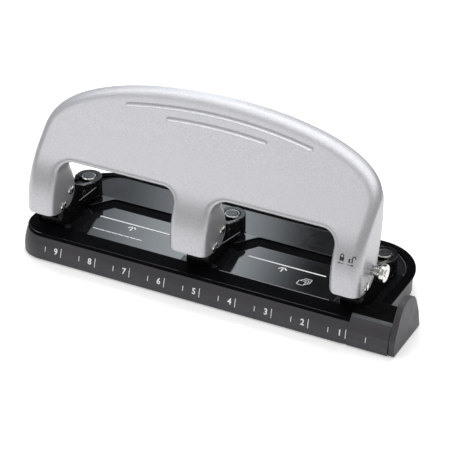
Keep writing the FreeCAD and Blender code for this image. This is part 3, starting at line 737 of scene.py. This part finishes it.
def make_caps():
    """A blued disc on each punch cap, with a shallow hollow in its middle."""
    sunk = 0.4 * MM
    profile = [
        (0.0, 0.0), (0.0, 3.3 * MM), (0.42 * MM, 3.4 * MM), (0.42 * MM, 4.3 * MM),
        (0.48 * MM, 4.15 * MM), (0.48 * MM, 2.2 * MM), (0.44 * MM, 1.6 * MM), (0.44 * MM, 0.0),
    ]
    for side, x in HEADS.items():
        _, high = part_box("punch_cap_" + side)
        disc = lathe(
            "punch_disc_" + side, profile, (x, PIN_Y, high[2] - sunk), (0, 0, 1), BLUED)
        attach(disc, "punch_" + side)


def make_springs():
    """A wire coil under each punch cap."""
    wire, radius, turns, sides, steps = 0.3 * MM, 4.2 * MM, 4.0, 8, 30
    low, high, seat = 16.95 * MM, 22.9 * MM, 16.6 * MM
    # the first and last tenth of the wire lie flat, as closed ends
    flat_end = 0.1
    count = int(turns * steps)
    for side, x in HEADS.items():
        verts, faces = [], []
        for i in range(count + 1):
            turn = 2 * math.pi * i / steps
            share = min(max((i / count - flat_end) / (1 - 2 * flat_end), 0.0), 1.0)
            centre = Vector((x + radius * math.cos(turn), PIN_Y + radius * math.sin(turn),
                             low + (high - low) * share))
            out = Vector((math.cos(turn), math.sin(turn), 0))
            for k in range(sides):
                a = 2 * math.pi * k / sides
                verts.append(centre + out * wire * math.cos(a) + Vector((0, 0, wire * math.sin(a))))
        for i in range(count):
            for k in range(sides):
                n = (k + 1) % sides
                a, b = i * sides, (i + 1) * sides
                faces.append((a + k, a + n, b + n, b + k))
        faces.append(tuple(range(sides)))
        faces.append(tuple(range(count * sides, (count + 1) * sides)))
        coil = mesh_piece("return_coil_" + side, verts, faces, NICKEL)
        weld_and_face(coil)
        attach(coil, "base")
        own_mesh(coil)
        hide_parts("return_spring_" + side)


def make_creases():
    """A thin raised line along the right cheek of two heads, where the casting creases, pale as a
    painted highlight.
    """
    lines = {"left": ((43.0, 23.6), (66.0, 22.1)), "centre": ((33.0, 23.9), (66.0, 16.9))}
    cheek, run_out = 7.8 * MM, 0.4 * MM
    thin, thick = 0.22 * MM, 0.34 * MM
    for side, (near, far) in lines.items():
        x = HEADS[side] + cheek
        start = Vector((x, FRONT + near[0] * MM, near[1] * MM))
        stop = Vector((x, FRONT + far[0] * MM, far[1] * MM))
        length = (stop - start).length
        profile = [(0.0, 0.0), (run_out, thin), (length / 2, thick),
                   (length - run_out, thin), (length, 0.0)]
        crease = lathe("head_cheek_highlight_" + side, profile, start, stop - start, LINE_HIGHLIGHT, 12)
        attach(crease, "base")


def make_strip_edge():
    """A painted highlight: a thin pale rod along the rear edge of the plate's front strip, beside
    the right bay.
    """
    left, right = 6.0 * MM, 84.0 * MM
    radius, run_out = 0.28 * MM, 1.0 * MM
    length = right - left
    profile = [(0.0, 0.0), (run_out, radius), (length - run_out, radius), (length, 0.0)]
    place = (left, FRONT + 17.5 * MM, 17.4 * MM)
    strip = lathe("strip_edge_highlight", profile, place, (1, 0, 0), LINE_HIGHLIGHT, 12)
    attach(strip, "base")


# ------------------------------------------------------------------ printing

INK_RISE = 0.04 * MM


def print_piece(name, verts, faces, material, body):
    """A printed mark that rides on a body."""
    piece = mesh_piece(name, verts, faces, material, smooth=False)
    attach(piece, body)
    return piece


class Marks:
    """Collects flat polygons drawn in a sheet's own two directions."""

    def __init__(self, place):
        self.place = place
        self.verts = []
        self.faces = []

    def polygon(self, points):
        start = len(self.verts)
        self.verts += [self.place(a, b) for a, b in points]
        self.faces.append(tuple(range(start, start + len(points))))

    def stroke(self, points, width, closed=False):
        """A line of a width through the points, in short quads."""
        chain = [Vector(p) for p in points]
        if closed:
            chain.append(chain[0])
        for a, b in zip(chain, chain[1:]):
            along = (b - a).normalized()
            across = Vector((-along.y, along.x)) * width / 2
            reach = along * width / 2
            parts = max(1, int((b - a).length / (1.2 * MM)))
            for i in range(parts):
                c = a.lerp(b, i / parts) - (reach if i == 0 else Vector((0, 0)))
                d = a.lerp(b, (i + 1) / parts) + (reach if i == parts - 1 else Vector((0, 0)))
                self.polygon([c - across, d - across, d + across, c + across])


def node_tree_of(node):
    """A search tree over a CAD node's faces."""
    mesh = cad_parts[node].data
    return BVHTree.FromPolygons(
        [v.co.copy() for v in mesh.vertices], [tuple(f.vertices) for f in mesh.polygons])


def make_plate_prints():
    """White guide lines, arrows and a sheet symbol on the plate."""
    marks = Marks(lambda a, b: Vector((a, b, PLATE_TOP + 2.5 * INK_RISE)))
    # a guide line and an open arrow in each bay: left end, right end and arrow's place
    line_y, arrow_y = FRONT + 49.0 * MM, FRONT + 41.8 * MM
    arrow_length, wing, line_width, arrow_width = 5.2 * MM, 2.6 * MM, 1.15 * MM, 0.95 * MM
    for left, right, arrow in ((-87, -36, -61), (23, 77, 49)):
        ends = [(HEAD_MIDDLE + u * MM, line_y) for u in (left, right)]
        marks.stroke(ends, line_width)
        x = HEAD_MIDDLE + arrow * MM
        tip = arrow_y + arrow_length
        marks.stroke([(x, arrow_y), (x, tip - 0.5 * MM)], arrow_width)
        marks.stroke([(x - wing, tip - wing), (x, tip), (x + wing, tip - wing)], arrow_width)
    # a stack of three sheets: the front one whole, two corners behind it
    x, y, side = HEAD_MIDDLE + 64.0 * MM, FRONT + 33.0 * MM, 4.8 * MM
    hem, outline = 0.9 * MM, 0.5 * MM
    marks.stroke([(x, y), (x + side, y), (x + side, y + side), (x, y + side)],
                 outline, closed=True)
    for step in (1, 2):
        u, v = x + 1.4 * step * MM, y + 1.6 * step * MM
        marks.stroke([(u, v + side - hem), (u, v + side), (u + side, v + side),
                      (u + side, v), (u + side - hem, v)], outline)
    # plain dashes in place of the printed words
    first, pitch, dash, dash_y = -84.0, 4.6, 3.2 * MM, FRONT + 34.0 * MM
    for index in range(8):
        x = HEAD_MIDDLE + (first + pitch * index) * MM
        marks.stroke([(x, dash_y), (x + dash, dash_y)], 0.95 * MM)
    print_piece("plate_prints", marks.verts, marks.faces, WHITE_INK, "base")


def digit_mesh(number):
    """A digit's flat mesh, cut into bands low enough to follow a curved wall."""
    curve = bpy.data.curves.new("digit", "FONT")
    curve.body = str(number)
    curve.size = 5.5 * MM
    curve.offset = 0.13 * MM
    curve.align_x = "CENTER"
    curve.align_y = "CENTER"
    curve.resolution_u = 4
    holder = bpy.data.objects.new("digit", curve)
    mesh = bpy.data.meshes.new_from_object(holder)
    bpy.data.objects.remove(holder)
    work = bmesh.new()
    work.from_mesh(mesh)
    band = 0.7 * MM
    for k in range(-3, 4):
        bmesh.ops.bisect_plane(
            work, geom=work.verts[:] + work.edges[:] + work.faces[:],
            plane_co=(0, band * k, 0), plane_no=(0, 1, 0))
    work.verts.index_update()
    points = [v.co.copy() for v in work.verts]
    faces = [tuple(v.index for v in f.verts) for f in work.faces]
    work.free()
    return points, faces


def make_ruler():
    """An inch scale on the front wall, counted from the guide's end."""
    tree = node_tree_of("base_tray")
    inch = 25.4 * MM
    zero = 127.5 * MM
    long_tick, short_tick, tick_width = 2.75 * MM, 1.45 * MM, 0.46 * MM
    digit_gap = 3.9 * MM

    def on_wall(a, b):
        hit = tree.ray_cast(Vector((a, FRONT - 0.05, b)), Vector((0, 1, 0)))
        return Vector((a, hit[0].y - INK_RISE, b))

    def middle(across):
        """Height of the scale's middle, which drops a little to the right."""
        return 8.3 * MM - 0.0052 * across

    def tick_place(half_inches):
        across = zero - half_inches * inch / 2
        across += 0.6 * MM - 0.0019 * across
        return across if half_inches % 2 == 0 else across + 0.9 * MM

    marks = Marks(on_wall)
    for half_inches in range(1, 20):
        x = tick_place(half_inches)
        half = long_tick if half_inches % 2 == 0 else short_tick
        level = middle(x)
        marks.stroke([(x, level - half), (x, level + half)], tick_width)
    print_piece("ruler_ticks", marks.verts, marks.faces, WHITE_INK, "base")
    for number in range(1, 10):
        points, faces = digit_mesh(number)
        across = tick_place(2 * number) - digit_gap
        level = middle(across)
        verts = [on_wall(p.x + across, p.y + level) for p in points]
        print_piece("ruler_digit_%d" % number, verts, faces, WHITE_INK, "base")


def make_lock_icons():
    """A closed and an open padlock with arrows, printed on the right leg."""
    def on_leg(a, b):
        """A point of the leg's face, carried on round its outer bend."""
        y, z = face_point(b)
        normal = face_normal(b)
        start = HALF_SPAN - OUTER_BEND
        if a <= start:
            spot = Vector((HEAD_MIDDLE + a, FRONT + y, z))
            return spot + normal * INK_RISE
        turn = (a - start) / OUTER_BEND
        x = start + OUTER_BEND * math.sin(turn)
        back = OUTER_BEND * (1 - math.cos(turn))
        out = Vector((math.sin(turn), 0, 0)) + normal * math.cos(turn)
        return Vector((HEAD_MIDDLE + x, FRONT + y + back, z)) + out * INK_RISE

    marks = Marks(on_leg)
    reach = 25.5 * MM
    half, tall = 1.45 * MM, 2.4 * MM
    ring, lift, sink, open_shift = 1.0 * MM, 0.7 * MM, 0.1 * MM, 1.9 * MM
    arrow_drop, stem = 1.5 * MM, 1.5 * MM
    tip_reach, barb_reach, barb = 2.4 * MM, 1.0 * MM, 0.75 * MM
    for centre, opened in ((105.4 * MM, False), (111.3 * MM, True)):
        top = reach + tall
        marks.polygon([(centre - half, reach), (centre + half, reach),
                       (centre + half, top), (centre - half, top)])
        shift = open_shift if opened else 0.0
        loop = []
        for k in range(9):
            turn = math.pi * k / 8
            loop.append((centre + shift + ring * math.cos(turn),
                         top + lift + ring * math.sin(turn)))
        free_end = top + 0.5 * MM if opened else top - sink
        loop = [(loop[0][0], free_end)] + loop + [(loop[-1][0], top - sink)]
        marks.stroke(loop, 0.55 * MM)
        way = 1.0 if opened else -1.0
        y = reach - arrow_drop
        marks.stroke([(centre - stem, y), (centre + stem, y)], 0.4 * MM)
        tip = centre + way * tip_reach
        back = centre + way * barb_reach
        marks.polygon([(tip, y), (back, y + barb), (back, y - barb)])
    print_piece("lock_marks", marks.verts, marks.faces, DARK_INK, "handle")


# ------------------------------------------------------------------ light and camera

def make_stage():
    """A plain pale floor that runs on behind the object."""
    size, glow = 6.0, 0.32
    corners = [(-size, -size, 0), (size, -size, 0), (size, size, 0), (-size, size, 0)]
    ground = Shader("floor", (0.93, 0.93, 0.93), 0.6)
    ground.tint(ground.noise(3, 2.0), 0.995, 1.005)
    ground.shader.inputs["Emission Color"].default_value = (1, 1, 1, 1)
    ground.shader.inputs["Emission Strength"].default_value = glow
    floor = mesh_piece("floor", corners, [(0, 1, 2, 3)], ground.material, smooth=False)


def area_light(name, place, aim, size, power):
    """A white rectangular lamp that faces a point."""
    light = bpy.data.lights.new(name, "AREA")
    light.shape = "RECTANGLE"
    light.size, light.size_y = size
    light.energy = power
    lamp = bpy.data.objects.new(name, light)
    lamp.location = place
    lamp.rotation_euler = (Vector(aim) - Vector(place)).to_track_quat("-Z", "Y").to_euler()
    bpy.context.scene.collection.objects.link(lamp)


def card_material():
    """A glow in two slanting slopes: one eases in from the left, one fades out to the right."""
    card = bpy.data.materials.new("card")
    card.use_nodes = True
    tree = card.node_tree
    tree.nodes.clear()
    place = tree.nodes.new("ShaderNodeTexCoord").outputs["Object"]
    split = tree.nodes.new("ShaderNodeSeparateXYZ")
    tree.links.new(place, split.inputs[0])
    both = tree.nodes.new("ShaderNodeMath")
    both.operation = "MULTIPLY"
    # across, leaning by this share of the height
    lean = 0.3
    slant = tree.nodes.new("ShaderNodeMath")
    slant.operation = "MULTIPLY_ADD"
    slant.inputs[1].default_value = lean
    tree.links.new(split.outputs["Z"], slant.inputs[0])
    tree.links.new(split.outputs["X"], slant.inputs[2])
    # each slope: where it starts and stops, and the strength at each end
    slopes = ((-0.374, -0.214, 0.6, 3.0), (-0.204, -0.084, 1.0, 0.01))
    for side, (start, stop, first, last) in enumerate(slopes):
        fade = tree.nodes.new("ShaderNodeMapRange")
        fade.interpolation_type = "SMOOTHSTEP"
        fade.inputs["From Min"].default_value = start
        fade.inputs["From Max"].default_value = stop
        fade.inputs["To Min"].default_value = first
        fade.inputs["To Max"].default_value = last
        tree.links.new(slant.outputs[0], fade.inputs["Value"])
        tree.links.new(fade.outputs["Result"], both.inputs[side])
    glow = tree.nodes.new("ShaderNodeEmission")
    glow.inputs["Color"].default_value = (0.86, 0.94, 1.0, 1)
    tree.links.new(both.outputs[0], glow.inputs["Strength"])
    sink = tree.nodes.new("ShaderNodeOutputMaterial")
    tree.links.new(glow.outputs[0], sink.inputs["Surface"])
    return card


def make_lights():
    """An even white tent, three soft lamps and a bright card for the plate to mirror."""
    world = bpy.data.worlds.new("studio")
    bpy.context.scene.world = world
    world.use_nodes = True
    tent = world.node_tree.nodes["Background"]
    tent.inputs["Color"].default_value = (1, 1, 1, 1)
    tent.inputs["Strength"].default_value = 0.42
    # name, place, point it faces, size in metres, power in watts
    area_light("key", (-0.9, -1.1, 1.5), (0, 0, 0.05), (1.2, 1.2), 6)
    area_light("back", (-0.35, 0.9, 1.5), (0, 0, 0.05), (2.2, 0.6), 15)
    area_light("top", (0.1, 0.3, 1.6), (0, 0, 0.0), (1.4, 1.0), 9)
    left, right, low, high, y = -1.3, 0.6, 0.1, 1.5, 0.62
    corners = [(left, y, low), (right, y, low), (right, y, high), (left, y, high)]
    panel = mesh_piece("card", corners, [(0, 1, 2, 3)], card_material(), smooth=False)
    panel.visible_camera = False
    panel.visible_diffuse = False
    panel.visible_shadow = False


def make_camera():
    """The view from the front right, slightly above, through a long lens."""
    azimuth, elevation = math.radians(27.0), math.radians(31.3)
    aim = Vector((-1.5, -8.2, 35.6)) * MM
    distance = 1.449
    back = Vector((
        math.sin(azimuth) * math.cos(elevation),
        -math.cos(azimuth) * math.cos(elevation),
        math.sin(elevation),
    ))
    lens = bpy.data.cameras.new("camera")
    lens.lens = 181.0
    lens.sensor_width = 36.0
    lens.clip_end = 20
    camera = bpy.data.objects.new("camera", lens)
    camera.location = aim + back * distance
    camera.rotation_euler = (-back).to_track_quat("-Z", "Y").to_euler()
    bpy.context.scene.collection.objects.link(camera)
    bpy.context.scene.camera = camera


# ------------------------------------------------------------------ build

CAD_FINISH = {
    "base_tray": PLASTIC, "chip_drawer": PLASTIC, "guide_housing": PLASTIC, "guide_bar": PLASTIC,
    "guide_fin": PLASTIC, "base_plate": GLOSS, "rubber_feet": RUBBER, "toe_screws": BLUED,
    "lock_shaft": NICKEL, "lock_knob": NICKEL,
}
SIDE_FINISH = {
    "head": ENAMEL, "die": STEEL, "punch": STEEL, "punch_cap": NICKEL, "return_spring": NICKEL,
    "rocker": ENAMEL, "fulcrum_pin": NICKEL, "drive_pin": NICKEL, "pivot_pin": NICKEL,
}
for node_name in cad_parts:
    stem = node_name.rsplit("_", 1)[0]
    finish = CAD_FINISH.get(node_name) or SIDE_FINISH.get(stem)
    if finish:
        paint(node_name, finish)

several_finishes("base_plate", "plate_enamel", "base",
                 [GLOSS, SATIN_SHADE], plate_finish)
several_finishes("guide_housing", "guide_cover", "base",
                 [PLASTIC, COVER, PAINTED_EDGE_HIGHLIGHT], cover_finish)
make_handle()
make_rivets()
make_knob()
make_caps()
make_springs()
make_creases()
make_strip_edge()
make_plate_prints()
make_ruler()
make_lock_icons()
make_stage()
make_lights()
make_camera()
bpy.context.scene.view_settings.view_transform = "Standard"

bpy.context.view_layer.update()
